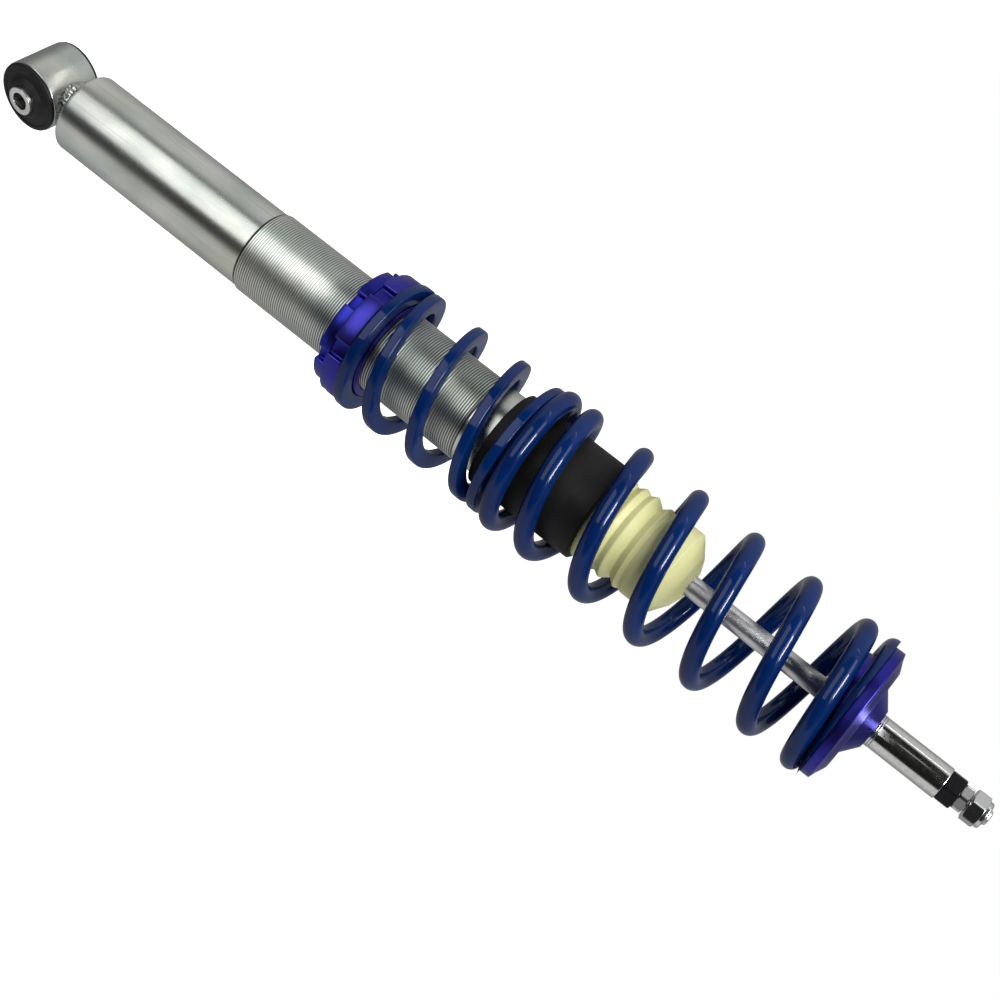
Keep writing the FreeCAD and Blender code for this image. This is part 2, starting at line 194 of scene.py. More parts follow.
def thread(start, end, major, depth, pitch, columns, first, fade):
    """A helical thread between two flat circles (r, z). Over the fade at each end it grows
    out of the plain cone between the circles."""
    z0, z1 = start[1], end[1]
    turns = round((z1 - z0) / pitch)
    pitch = (z1 - z0) / turns
    samples = len(THREAD_ROWS)
    last = turns * samples

    def climbed(row):
        return row // samples + THREAD_ROWS[row % samples][0]

    verts, faces = [], []
    for i in range(last + samples + 1):
        cut = depth * THREAD_ROWS[i % samples][1]
        for j in range(columns + 1):
            part = j / columns
            if i < samples:
                turn = part * climbed(i)
            elif i <= last:
                turn = climbed(i - samples) + part
            else:
                turn = turns - 1 + part + climbed(i - last) * (1 - part)
            z = z0 + pitch * turn
            share = min(1.0, (z - z0) / fade, (z1 - z) / fade)
            share = share * share * (3 - 2 * share)
            plain = start[0] + (end[0] - start[0]) * (z - z0) / (z1 - z0)
            verts.append(polar(plain + (major - cut - plain) * share, TAU * part, z))
    across = columns + 1
    for i in range(last + samples):
        for j in range(columns):
            corner = first + i * across + j
            faces.append((corner, corner + 1, corner + across + 1, corner + across))
    return verts, faces


def threaded_bar(below, above, major, depth, pitch, columns, fade):
    """A turned bar: open outline below, thread, open outline above, and the ends joined."""
    verts, faces = revolve(below, columns, False)
    more, quads = thread(below[-1], above[0], major, depth, pitch, columns, len(verts), fade)
    verts += more
    faces += quads
    more, quads = revolve(above, columns, False, len(verts))
    verts += more
    faces += quads
    faces += band(len(verts) - columns, 0, columns)
    return verts, faces


def hex_nut(across_flats, z0, z1, bore):
    """Hexagon nut: bevelled bore, and corners rounded off and chamfered at both ends."""
    slope = math.tan(math.radians(30))
    face_r = 0.96 * across_flats / 2
    corner_r = 0.985 * across_flats / math.sqrt(3)
    lead = 0.5 * MM
    half_side = math.pi / 6
    profiles = []
    for j in range(NUT_ROUND):
        off_flat = (TAU * j / NUT_ROUND + half_side) % (2 * half_side) - half_side
        r = min(across_flats / 2 / math.cos(off_flat), corner_r)
        drop = (r - face_r) * slope
        profiles.append([(bore, z0 + lead), (bore + lead, z0), (face_r, z0), (r, z0 + drop),
                         (r, z1 - drop), (face_r, z1), (bore + lead, z1), (bore, z1 - lead)])
    levels = len(profiles[0])
    verts, faces = [], []
    for i in range(levels):
        for j, profile in enumerate(profiles):
            r, z = profile[i]
            verts.append(polar(r, TAU * j / NUT_ROUND, z))
        faces += band(i * NUT_ROUND, (i + 1) % levels * NUT_ROUND, NUT_ROUND)
    return verts, faces


def turned_by(verts, degrees):
    """A shape turned about Z."""
    spin = Matrix.Rotation(math.radians(degrees), 3, "Z")
    return [spin @ v for v in verts]


def notched_loop(radius, floor, half, phase, inset):
    """Flat outline of a collar with parallel-sided spanner notches, shrunk by inset. Floor
    is a notch's distance from the axis, half its half width, and phase its azimuth."""
    tip_fillet, root_fillet = 0.9 * MM, 1.0 * MM
    fillet_steps, arc_steps = 4, 22
    outer = radius - inset
    side_y = half + inset
    floor_x = floor - inset
    tip = max(tip_fillet - inset, 0.05 * MM)
    root = root_fillet + inset
    tip_x = math.sqrt((outer - tip) ** 2 - (side_y + tip) ** 2)
    tip_angle = math.atan2(side_y + tip, tip_x)
    side = []
    for k in range(fillet_steps + 1):
        a = tip_angle + (-math.pi / 2 - tip_angle) * k / fillet_steps
        side.append((tip_x + tip * math.cos(a), side_y + tip + tip * math.sin(a)))
    for k in range(fillet_steps + 1):
        a = math.pi / 2 + math.pi / 2 * k / fillet_steps
        side.append((floor_x + root + root * math.cos(a), side_y - root + root * math.sin(a)))
    notch = side + [(x, -y) for x, y in reversed(side)]
    step = TAU / NOTCHES
    points = []
    for i in range(NOTCHES):
        turn = phase - i * step
        for x, y in notch:
            a = math.atan2(y, x) + turn
            r = math.hypot(x, y)
            points.append((r * math.cos(a), r * math.sin(a)))
        for k in range(1, arc_steps):
            a = turn - tip_angle - (step - 2 * tip_angle) * k / arc_steps
            points.append((outer * math.cos(a), outer * math.sin(a)))
    return points


def collar(loops, bore, spigot, z0, z1):
    """Notched collar from its outside loops (points, z), from z0 to z1, with a bevelled bore
    and, if given, a spigot (radius, top) that stands above z1."""
    verts, faces = [], []
    for points, z in loops:
        verts += [Vector((x, y, z)) for x, y in points]
    count = len(loops[0][0])
    for i in range(len(loops) - 1):
        faces += band(i * count, (i + 1) * count, count)
    lead = 0.8 * MM
    inside = [(bore + lead, z0), (bore, z0 + lead)]
    if spigot is None:
        inside += [(bore, z1 - lead), (bore + lead, z1)]
    else:
        radius, top = spigot
        inside += [(bore, top - lead), (bore + lead, top), (radius - lead, top),
                   (radius - 0.2 * MM, top - 0.4 * lead), (radius, top - lead), (radius, z1)]
    start = len(verts)
    more, quads = revolve(inside, ROUND, False, start)
    verts += more
    faces += quads
    # flat lower and upper faces, between an outside loop and a circle of the inside
    for loop, row in ((0, 0), (len(loops) - 1, len(inside) - 1)):
        outer = list(range(loop * count, (loop + 1) * count))
        inner = list(range(start + row * ROUND, start + (row + 1) * ROUND))
        names = outer + inner
        polygons = [[verts[n] for n in outer], [verts[n] for n in inner]]
        for triangle in tessellate_polygon(polygons):
            faces.append(tuple(names[t] for t in triangle))
    return verts, faces


def rise(x, x0, x1):
    """Integral from x0 of a slope that grows evenly from 0 at x0 to 1 at x1."""
    if x <= x0:
        return 0.0
    if x <= x1:
        return (x - x0) ** 2 / (2 * (x1 - x0))
    return x - (x0 + x1) / 2


def coil(height, tips, mean_r, section, floor, roof):
    """Wire coil. Height gives the wire's z at a turn, tips are the first and last turn, and
    section is the wire's (radial, axial) outline. Both ends are ground flat."""
    steps = int(math.ceil((tips[1] - tips[0]) * COIL_STEPS))
    count = len(section)
    small = 1e-3
    verts, faces = [], []
    for i in range(steps + 1):
        turn = tips[0] + (tips[1] - tips[0]) * i / steps
        a = FRONT + TAU * turn
        out = Vector((math.cos(a), math.sin(a), 0))
        along = Vector((-math.sin(a) * mean_r * TAU, math.cos(a) * mean_r * TAU,
                        (height(turn + small) - height(turn - small)) / (2 * small)))
        up = out.cross(along.normalized())
        centre = out * mean_r + Vector((0, 0, height(turn)))
        for radial, axial in section:
            point = centre + out * radial + up * axial
            point.z = min(max(point.z, floor), roof)
            verts.append(point)
    for i in range(steps):
        faces += band(i * count, (i + 1) * count, count)
    faces.append(tuple(reversed(range(count))))
    faces.append(tuple(steps * count + j for j in range(count)))
    return verts, faces


# ---- materials ----------------------------------------------------------------------------
class Nodes:
    """A new material, with short ways to add nodes to it."""

    def __init__(self, name):
        self.material = bpy.data.materials.new(name)
        self.material.use_nodes = True
        self.tree = self.material.node_tree

    def node(self, kind, **values):
        made = self.tree.nodes.new(kind)
        for key, value in values.items():
            setattr(made, key, value)
        return made

    def put(self, value, socket):
        """Link a socket's value or set it; a colour is given without its alpha."""
        if isinstance(value, bpy.types.NodeSocket):
            self.tree.links.new(value, socket)
        elif socket.type == "RGBA":
            socket.default_value = (*value, 1)
        else:
            socket.default_value = value

    def maths(self, operation, a, b=0.0):
        made = self.node("ShaderNodeMath", operation=operation)
        self.put(a, made.inputs[0])
        self.put(b, made.inputs[1])
        return made.outputs[0]

    def ranged(self, value, low, high, to_low=0.0, to_high=1.0, kind="LINEAR"):
        made = self.node("ShaderNodeMapRange", interpolation_type=kind)
        for socket, item in zip(made.inputs, (value, low, high, to_low, to_high)):
            self.put(item, socket)
        return made.outputs[0]


class Shade(Nodes):
    """A Principled material whose colour, roughness and bump come from noise."""

    def __init__(self, name, metallic=0.0, coat=0.0, coat_roughness=0.04, specular=0.5):
        super().__init__(name)
        self.bsdf = self.tree.nodes["Principled BSDF"]
        self.bsdf.inputs["Metallic"].default_value = metallic
        self.bsdf.inputs["Coat Weight"].default_value = coat
        self.bsdf.inputs["Coat Roughness"].default_value = coat_roughness
        self.bsdf.inputs["Specular IOR Level"].default_value = specular
        self.place = self.node("ShaderNodeTexCoord").outputs["Object"]
        self.normal = None

    def stretched(self, z_scale):
        """Coordinates whose noise is drawn out along the strut's axis."""
        made = self.node("ShaderNodeVectorMath", operation="MULTIPLY")
        self.put(self.place, made.inputs[0])
        made.inputs[1].default_value = (1, 1, z_scale)
        return made.outputs[0]

    def parts(self):
        made = self.node("ShaderNodeSeparateXYZ")
        self.put(self.place, made.inputs[0])
        return made.outputs

    def radius(self):
        x, y, _ = self.parts()
        square = self.maths("ADD", self.maths("MULTIPLY", x, x), self.maths("MULTIPLY", y, y))
        return self.maths("SQRT", square)

    def turned(self):
        """Coordinates that change with radius and height only: lathe marks."""
        made = self.node("ShaderNodeCombineXYZ")
        self.put(self.radius(), made.inputs[0])
        self.put(self.parts()[2], made.inputs[1])
        return made.outputs[0]

    def noise(self, where, scale, detail=3.0, rough=0.5):
        made = self.node("ShaderNodeTexNoise")
        self.put(where, made.inputs["Vector"])
        made.inputs["Scale"].default_value = scale
        made.inputs["Detail"].default_value = detail
        made.inputs["Roughness"].default_value = rough
        return made.outputs["Fac"]

    def mixed(self, share, first, second):
        made = self.node("ShaderNodeMix", data_type="RGBA")
        self.put(share, made.inputs[0])
        self.put(first, made.inputs[6])
        self.put(second, made.inputs[7])
        return made.outputs[2]

    def tinted(self, colour, mask, low, high, most, tint):
        """Colour, going over to at most this share of tint as mask goes from low to high."""
        return self.mixed(self.ranged(mask, low, high, 0.0, most), colour, tint)

    def edge_highlight_and_wear(self, colour, share, pale):
        """Colour with a share of pale on the outer edges: a painted edge highlight, together
        with edge wear.
        """
        points = self.node("ShaderNodeNewGeometry").outputs["Pointiness"]
        edges = self.ranged(points, 0.53, 0.62)
        return self.mixed(self.maths("MULTIPLY", edges, share), colour, pale)

    def bump(self, height, strength, distance):
        made = self.node("ShaderNodeBump")
        made.inputs["Strength"].default_value = strength
        made.inputs["Distance"].default_value = distance
        self.put(height, made.inputs["Height"])
        if self.normal is not None:
            self.put(self.normal, made.inputs["Normal"])
        self.normal = made.outputs[0]

    def done(self, colour, roughness):
        self.put(colour, self.bsdf.inputs["Base Color"])
        self.put(roughness, self.bsdf.inputs["Roughness"])
        self.put(self.normal, self.bsdf.inputs["Normal"])
        return self.material


def plated(name, light, dark, rough):
    """Plated, bare or oxidised steel: cloudy tint, grit, and fine streaks along the axis."""
    s = Shade(name, metallic=1.0)
    cloud = s.noise(s.stretched(0.5), 45, 4)
    streak = s.noise(s.stretched(0.02), 1400, 2)
    grit = s.noise(s.place, 900, 3, 0.6)
    colour = s.tinted(light, cloud, 0.38, 0.66, 1.0, dark)
    colour = s.tinted(colour, grit, 0.62, 0.75, 0.35, dark)
    s.bump(streak, 0.10, 0.04 * MM)
    s.bump(grit, 0.12, 0.06 * MM)
    return s.done(colour, s.ranged(cloud, 0.3, 0.7, *rough))


def body_steel(name):
    """Zinc-plated body: greenish and warm patches, streaks, grit, and painted shade darkening
    the thread's roots.
    """
    s = Shade(name, metallic=1.0)
    crest_r, root_r = 25.88 * MM, 25.42 * MM      # radii where the thread's painted shade starts and where it is full
    cloud = s.noise(s.stretched(0.5), 45, 4)
    streak = s.noise(s.stretched(0.02), 900, 2)
    grit = s.noise(s.place, 900, 3, 0.6)
    patch = s.noise(s.stretched(0.35), 22, 3, 0.55)
    colour = s.tinted((0.68, 0.69, 0.645), cloud, 0.38, 0.66, 1.0, (0.50, 0.545, 0.515))
    colour = s.tinted(colour, patch, 0.50, 0.78, 0.7, (0.43, 0.50, 0.50))
    colour = s.tinted(colour, patch, 0.50, 0.24, 0.6, (0.66, 0.65, 0.54))
    colour = s.tinted(colour, streak, 0.58, 0.74, 0.35, (0.40, 0.42, 0.39))
    colour = s.tinted(colour, grit, 0.62, 0.75, 0.3, (0.34, 0.36, 0.33))
    above = s.maths("GREATER_THAN", s.parts()[2], THREAD_LOW)
    below = s.maths("LESS_THAN", s.parts()[2], THREAD_HIGH)
    threaded = s.maths("MULTIPLY", above, below)
    # painted shade: the thread's roots are darkened to near black by radius, standing in for
    # the shade in the grooves
    painted_root_shade = s.maths("MULTIPLY", threaded, s.ranged(s.radius(), root_r, crest_r, 1.0, 0.0))
    colour = s.mixed(s.maths("MULTIPLY", painted_root_shade, 0.95), colour, (0.04, 0.043, 0.038))
    s.bump(streak, 0.02, 0.04 * MM)
    s.bump(grit, 0.02, 0.05 * MM)
    smooth = s.ranged(cloud, 0.3, 0.7, 0.22, 0.29)
    return s.done(colour, s.maths("ADD", smooth, s.maths("MULTIPLY", threaded, 0.10)))


def anodised(name, colour, deep, rough):
    """Turned and anodised aluminium: lathe marks, and paler edges that are a painted edge
    highlight and wear.
    """
    s = Shade(name, metallic=1.0)
    lathe = s.noise(s.turned(), 2600, 2, 0.6)
    pale = tuple(0.10 + 1.3 * c for c in colour)
    tint = s.tinted(colour, s.noise(s.place, 60), 0.35, 0.65, 1.0, deep)
    # painted edge highlight, with edge wear: pale colour on the outer edges
    tint = s.edge_highlight_and_wear(tint, 0.55, pale)
    s.bump(lathe, 0.16, 0.05 * MM)
    s.bump(s.noise(s.place, 1500), 0.08, 0.05 * MM)
    return s.done(tint, s.ranged(lathe, 0.3, 0.7, *rough))


def spring_paint(name):
    """Gloss powder coat with a slight orange peel and a few dust specks."""
    s = Shade(name, coat=0.48, coat_roughness=0.045, specular=0.03)
    cloud = s.noise(s.place, 35)
    speck = s.noise(s.place, 1100, 2, 0.4)
    colour = s.tinted((0.0008, 0.021, 0.125), cloud, 0.35, 0.65, 1.0, (0.0008, 0.015, 0.094))
    colour = s.tinted(colour, speck, 0.74, 0.80, 0.5, (0.03, 0.08, 0.24))
    s.bump(s.noise(s.place, 330, 2), 0.10, 0.12 * MM)
    return s.done(colour, s.ranged(cloud, 0.3, 0.7, 0.28, 0.36))


def moulded(name, colour, pale, rough, grain, bump, specular=0.5):
    """Moulded plastic, foam or rubber: fine grain, slightly paler on its edges as a painted
    edge highlight and wear.
    """
    s = Shade(name, specular=specular)
    fine = s.noise(s.place, grain, 4, 0.65)
    tint = s.tinted(colour, s.noise(s.place, 50, 4), 0.35, 0.7, 1.0, pale)
    # painted edge highlight, with edge wear: pale colour on the outer edges
    tint = s.edge_highlight_and_wear(tint, 0.5, pale)
    tint = s.tinted(tint, fine, 0.6, 0.75, 0.35, pale)
    s.bump(fine, 0.35, bump)
    return s.done(tint, s.ranged(fine, 0.3, 0.7, *rough))


def chromed(name, colour, rough, marks):
    """Ground and chromed bar: smooth, with faint lengthwise wipe marks and a mottle."""
    s = Shade(name, metallic=1.0)
    streak = s.noise(s.stretched(0.03), 900, 2)
    mottle = s.noise(s.place, 420, 3, 0.6)
    dark = tuple(0.8 * c for c in colour)
    s.bump(streak, 0.05, 0.03 * MM)
    s.bump(mottle, marks * 0.05, 0.08 * MM)
    return s.done(s.tinted(colour, mottle, 0.4, 0.7, marks, dark),
                  s.ranged(mottle, 0.3, 0.7, *rough))


SHADES = {
    "zinc_steel": body_steel("zinc_steel"),
    "sleeve_steel": plated("sleeve_steel", (0.72, 0.72, 0.70), (0.55, 0.55, 0.53),
                           (0.2, 0.32)),
    "weld_steel": plated("weld_steel", (0.50, 0.53, 0.50), (0.10, 0.11, 0.10), (0.16, 0.40)),
    "bare_steel": plated("bare_steel", (0.50, 0.50, 0.50), (0.40, 0.40, 0.40), (0.25, 0.35)),
    "spring_steel": plated("spring_steel", (0.42, 0.42, 0.43), (0.3, 0.3, 0.31), (0.2, 0.3)),
    "sintered_iron": plated("sintered_iron", (0.30, 0.30, 0.31), (0.2, 0.2, 0.2),
                            (0.45, 0.6)),
    "bearing_bronze": plated("bearing_bronze", (0.62, 0.45, 0.24), (0.5, 0.34, 0.16),
                             (0.25, 0.4)),
    "ptfe_band": moulded("ptfe_band", (0.13, 0.17, 0.14), (0.2, 0.24, 0.2), (0.4, 0.5), 900,
                         0.03 * MM),
    "hard_chrome": chromed("hard_chrome", (0.70, 0.70, 0.71), (0.30, 0.40), 0.3),
    "polished_chrome": chromed("polished_chrome", (0.76, 0.76, 0.74), (0.09, 0.17), 0.8),
    "blue_anodised": anodised("blue_anodised", (0.020, 0.024, 0.32), (0.013, 0.015, 0.24),
                              (0.26, 0.36)),
    "violet_anodised": anodised("violet_anodised", (0.043, 0.039, 0.37),
                                (0.028, 0.025, 0.27), (0.28, 0.40)),
    "blue_spring_paint": spring_paint("blue_spring_paint"),
    "black_plastic": moulded("black_plastic", (0.005, 0.005, 0.0055),
                             (0.011, 0.011, 0.0115), (0.5, 0.62), 700, 0.06 * MM, 0.22),
    "cream_foam": moulded("cream_foam", (0.80, 0.79, 0.40), (0.70, 0.69, 0.31), (0.45, 0.6),
                          500, 0.10 * MM),
    "black_rubber": moulded("black_rubber", (0.006, 0.006, 0.0065), (0.016, 0.016, 0.017),
                            (0.42, 0.6), 600, 0.10 * MM, 0.28),
    "black_oxide": plated("black_oxide", (0.035, 0.033, 0.038), (0.018, 0.018, 0.02),
                          (0.3, 0.42)),
    "bright_zinc": plated("bright_zinc", (0.74, 0.75, 0.74), (0.60, 0.61, 0.60),
                          (0.12, 0.22)),
    "nylon": moulded("nylon", (0.75, 0.74, 0.70), (0.65, 0.64, 0.60), (0.35, 0.45), 600,
                     0.05 * MM),
}
for part in frame["record"]["subparts"]:
    for material_slot in frame["nodes"][part["node"]].material_slots:
        material_slot.material = SHADES[part["material_slot"]]


# ---- lower eye ----------------------------------------------------------------------------
def eye():
    _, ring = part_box("eye_ring")
    _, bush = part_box("eye_rubber_bush")
    _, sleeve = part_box("eye_inner_sleeve")
    outline = ring_outline(ring.x, ring.x - EYE_WALL, -ring.y, ring.y, 0.45 * MM, 0.3 * MM)
    verts, faces = revolve(outline)
    make("eye_ring_turned", about_y(verts), faces, "root", ["eye_ring"], "zinc_steel")

    face = ring.y + 2.0 * MM             # the flange's flat outer face
    side = [(ring.x - EYE_WALL, ring.y, 0.0), (bush.x, ring.y, 0.3 * MM),
            (bush.x, face, 1.1 * MM), (18.3 * MM, face, 0.5 * MM),
            (17.4 * MM, face - 0.45 * MM, 0.5 * MM), (14.6 * MM, face - 0.35 * MM, 1.0 * MM),
            (12.9 * MM, face + 0.4 * MM, 1.2 * MM), (10.6 * MM, bush.y - 0.2 * MM, 0.9 * MM),
            (9.2 * MM, bush.y - 0.5 * MM, 0.3 * MM), (sleeve.x, bush.y - 0.9 * MM, 0.0)]
    outline = rounded(side + [(r, -z, fillet) for r, z, fillet in reversed(side)])
    verts, faces = revolve(outline)
    make("rubber_bush_moulded", about_y(verts), faces, "root", ["eye_rubber_bush"],
         "black_rubber")

    bore = 5.25 * MM
    outline = ring_outline(sleeve.x, bore, -sleeve.y, sleeve.y, 0.25 * MM, 0.2 * MM)
    verts, faces = revolve(outline, SMALL_ROUND)
    make("bush_sleeve_turned", about_y(verts), faces, "root", ["eye_inner_sleeve"],
         "sleeve_steel")


def weld():
    """Two laps of overlapping beads between the eye ring and the base cap."""
    radius, _, top = span("eye_weld")
    eye_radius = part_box("eye_ring")[1].x
    ripples, columns, rows = 27, 324, 24
    toe = radius - 2.3 * MM              # the bead's radius where it meets the eye
    sunk, bite = 1.1 * MM, 0.5 * MM      # below the full radius, and into the eye
    puddle_height, wave_height = 1.15 * MM, 0.40 * MM
    verts, faces = [], []
    for i in range(rows + 1):
        t = i / rows
        lap = 0 if t < 0.5 else 1
        across = (t * 2) % 1.0 if t < 1 else 1.0
        arch = math.sin(math.pi * across)
        for j in range(columns):
            a = TAU * j / columns
            wander = 0.30 * math.sin(3 * a + lap) + 0.22 * math.sin(7 * a + 2 * lap)
            phase = ripples * a / TAU + 0.5 * lap + wander - 0.30 * arch
            puddle = abs(math.sin(math.pi * phase)) ** 0.45
            size = 0.75 + 0.25 * math.sin(5 * a + 1.3 + 2 * lap) * math.sin(11 * a + lap)
            swell = puddle_height * arch ** 0.6 * puddle * size
            swell += wave_height * math.sin(3 * a + 1.0) * math.sin(math.pi * t)
            seat = math.sqrt(eye_radius ** 2 - (toe * math.cos(a)) ** 2) - bite
            verts.append(polar(toe + (radius - toe) * t - sunk + swell, a,
                               seat + (top - seat) * t))
    for i in range(rows):
        faces += band(i * columns, (i + 1) * columns, columns)
    start = len(verts)
    for row in (rows, 0):
        verts += [polar(WELD_BORE, TAU * j / columns, verts[row * columns + j].z)
                  for j in range(columns)]
    faces += band(rows * columns, start, columns)
    faces += band(start, start + columns, columns)
    faces += band(start + columns, 0, columns)
    make("weld_bead", verts, faces, "root", ["eye_weld"], "weld_steel", 60)


# ---- body ---------------------------------------------------------------------------------
def body():
    radius, _, seam = span("base_cap")
    major, rim, top = span("body_tube")
    low = 28.8 * MM                      # the cap's outer face
    outline = rounded([(0.0, low, 0), (WELD_BORE, low, 0), (radius, low, 2.6 * MM),
                       (radius, rim, 0), (TUBE_BORE, rim, 0), (TUBE_BORE, seam, 0),
                       (0.0, seam, 0)], 8)
    verts, faces = revolve(outline)
    make("base_cap_pressed", verts, faces, "root", ["base_cap"], "zinc_steel")

    upper = major - 0.6 * MM             # plain end above the thread
    below = [(TUBE_BORE, rim), (radius, rim), (radius, rim + 40 * MM),
             (radius, THREAD_LOW - 1.5 * MM), (radius + 0.15 * MM, THREAD_LOW)]
    above = [(upper, THREAD_HIGH), (upper, top - 1.0 * MM),
             (upper - 0.3 * MM, top - 0.4 * MM), (upper - 0.8 * MM, top), (TUBE_BORE, top)]
    verts, faces = threaded_bar(below, above, major, BODY_DEPTH, BODY_PITCH, ROUND, 2.2 * MM)
    make("body_tube_threaded", verts, faces, "root", ["body_tube"], "zinc_steel", 60)


def dust_tube():
    radius, low, high = span("dust_tube")
    inner, lip = 27.5 * MM, 23.0 * MM
    under_lip = high - 2.5 * MM
    outline = rounded([(inner, low, 0.3 * MM), (radius, low, 0.5 * MM),
                       (radius, high, 1.6 * MM), (lip, high, 0.4 * MM),
                       (lip, under_lip, 0.3 * MM), (inner, under_lip, 0.3 * MM)])
    verts, faces = revolve(outline)
    make("dust_tube_moulded", verts, faces, "root", ["dust_tube"], "black_plastic")


def bump_stop():
    radius, low, high = span("bump_stop")
    bore, plug, groove = 6.4 * MM, 26.0 * MM, 23.0 * MM
    lip_low, lip_top = 416.5 * MM, 419.0 * MM     # the dust tube's lip sits between them
    outline = rounded([
        (bore, low, 0), (22.0 * MM, low, 1 * MM), (plug, 404 * MM, 1 * MM),
        (plug, lip_low, 0), (groove, lip_low, 0), (groove, lip_top, 0),
        (25.8 * MM, lip_top, 0.4 * MM), (radius, 422.3 * MM, 1.3 * MM),
        (24.0 * MM, 426.6 * MM, 0.9 * MM), (radius, 430.9 * MM, 1.4 * MM),
        (24.8 * MM, 434.5 * MM, 0.7 * MM), (radius, 438.4 * MM, 1.6 * MM),
        (22.8 * MM, 443.8 * MM, 1.0 * MM), (26.2 * MM, 447.9 * MM, 1.1 * MM),
        (24.9 * MM, 450.5 * MM, 0.6 * MM), (26.0 * MM, 453.0 * MM, 0.9 * MM),
        (26.0 * MM, 470.0 * MM, 1.0 * MM), (15.8 * MM, 477.4 * MM, 2.2 * MM),
        (9.5 * MM, high, 1.0 * MM), (bore, high, 0.5 * MM)], 5)
    verts, faces = revolve(outline)
    stop = make("bump_stop_foam", verts, faces, "root", ["bump_stop"], "cream_foam", 50)
    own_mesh(stop)


# ---- collars ------------------------------------------------------------------------------
def notched_collar(name, node, body_name, slot, floor, width, degrees, spigot_r=None):
    """A collar with spanner notches; a spigot, if any, fills the rest of the CAD height."""
    radius, low, high = span(node)
    top, spigot = high, None
    if spigot_r is not None:
        top, spigot = span("helper_spring")[1], (spigot_r, high)
    thread_bore = span("body_tube")[0] + 0.05 * MM
    edge = 0.7 * MM
    bevel = ((edge, 0.0), (0.3 * edge, 0.3 * edge), (0.0, edge))      # (inset, height)
    levels = [(inset, low + up) for inset, up in bevel]
    levels += [(inset, top - up) for inset, up in reversed(bevel)]
    loops = [(notched_loop(radius, floor, width / 2, math.radians(degrees), inset), z)
             for inset, z in levels]
    verts, faces = collar(loops, thread_bore, spigot, low, top)
    make(name, verts, faces, body_name, [node], slot, 28)


# ---- springs ------------------------------------------------------------------------------
def springs():
    radius, low, high = span("helper_spring")
    main_radius, main_low, main_high = span("main_spring")

    radial, axial, edge = 10.0 * MM, 6.0 * MM, 1.2 * MM
    pitch = 31.0 * MM
    section = rounded([(-radial / 2, -axial / 2, edge), (radial / 2, -axial / 2, edge),
                       (radial / 2, axial / 2, edge), (-radial / 2, axial / 2, edge)])

    def helper_height(turn):
        climb = rise(turn, 0.4, 0.6) - rise(turn, 3.5, 3.7)
        return low + axial / 2 + pitch * climb

    verts, faces = coil(helper_height, (-0.28, 4.38), radius - radial / 2, section, low, high)
    helper = make("helper_spring_wound", verts, faces, "springs", ["helper_spring"],
                  "blue_spring_paint", 40)

    wire, wire_sides = 5.5 * MM, 32
    open_pitch, closed_pitch = 37.3 * MM, 10.9 * MM
    first = main_low + 6.5 * MM
    section = [(wire * math.cos(TAU * k / wire_sides), wire * math.sin(TAU * k / wire_sides))
               for k in range(wire_sides)]

    def main_height(turn):
        climb = rise(turn, 0.15, 1.2) - rise(turn, 5.38, 6.42)
        return first + closed_pitch * turn + (open_pitch - closed_pitch) * climb

    verts, faces = coil(main_height, (-0.6, 7.3), main_radius - wire, section, main_low,
                        main_high)
    main = make("main_spring_wound", verts, faces, "springs", ["main_spring"],
                "blue_spring_paint", 40)
    for piece in (helper, main):
        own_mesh(piece)


# ---- rod and upper end --------------------------------------------------------------------
def rod():
    radius, low, high = span("piston_rod")
    seat = 332.0 * MM                    # the lower shoulder, above the piston's discs
    pitch, depth, bevel = 1.25 * MM, 0.6 * MM, 0.3 * MM
    thread_high = high - 1.0 * MM
    thread_low = span("spacer_sleeve")[2] - 4.0 * MM
    thread_low = thread_high - math.floor((thread_high - thread_low) / pitch) * pitch
    below = [(0.0, low), (STUD_R - 0.8 * MM, low), (STUD_R, low + 0.8 * MM), (STUD_R, seat),
             (radius - bevel, seat), (radius, seat + bevel), (radius, ROD_SHOULDER - bevel),
             (radius - bevel, ROD_SHOULDER), (STUD_R, ROD_SHOULDER), (STUD_R, thread_low)]
    above = [(STUD_R - depth, thread_high), (STUD_R - 1.2 * MM, high - 0.15 * MM),
             (STUD_R - 1.7 * MM, high), (0.0, high)]
    verts, faces = threaded_bar(below, above, STUD_R, depth, pitch, SMALL_ROUND, pitch)
    make("piston_rod_ground", verts, faces, "rod", ["piston_rod"], "hard_chrome", 50)


def upper_perch():
    radius, low, high = span("upper_perch")
    seat = span("main_spring")[2]
    step, rim = 592.7 * MM, seat + 5.7 * MM
    outline = rounded([
        (STUD_BORE, ROD_SHOULDER, 0), (27.0 * MM, ROD_SHOULDER, 1.0 * MM),
        (27.0 * MM, low, 0.4 * MM), (30.0 * MM, low, 0.9 * MM), (30.0 * MM, seat, 0.5 * MM),
        (radius, seat, 0.5 * MM), (radius, rim, 0.6 * MM),
        (36.5 * MM, rim + 1.2 * MM, 1.5 * MM), (32.5 * MM, step - 0.8 * MM, 1.2 * MM),
        (30.5 * MM, step, 0.8 * MM), (21.0 * MM, step, 0.8 * MM), (11.5 * MM, high, 0.5 * MM),
        (STUD_BORE, high, 0.2 * MM)], 5)
    verts, faces = revolve(outline)
    make("upper_perch_turned", verts, faces, "upper_seat", ["upper_perch"],
         "violet_anodised")


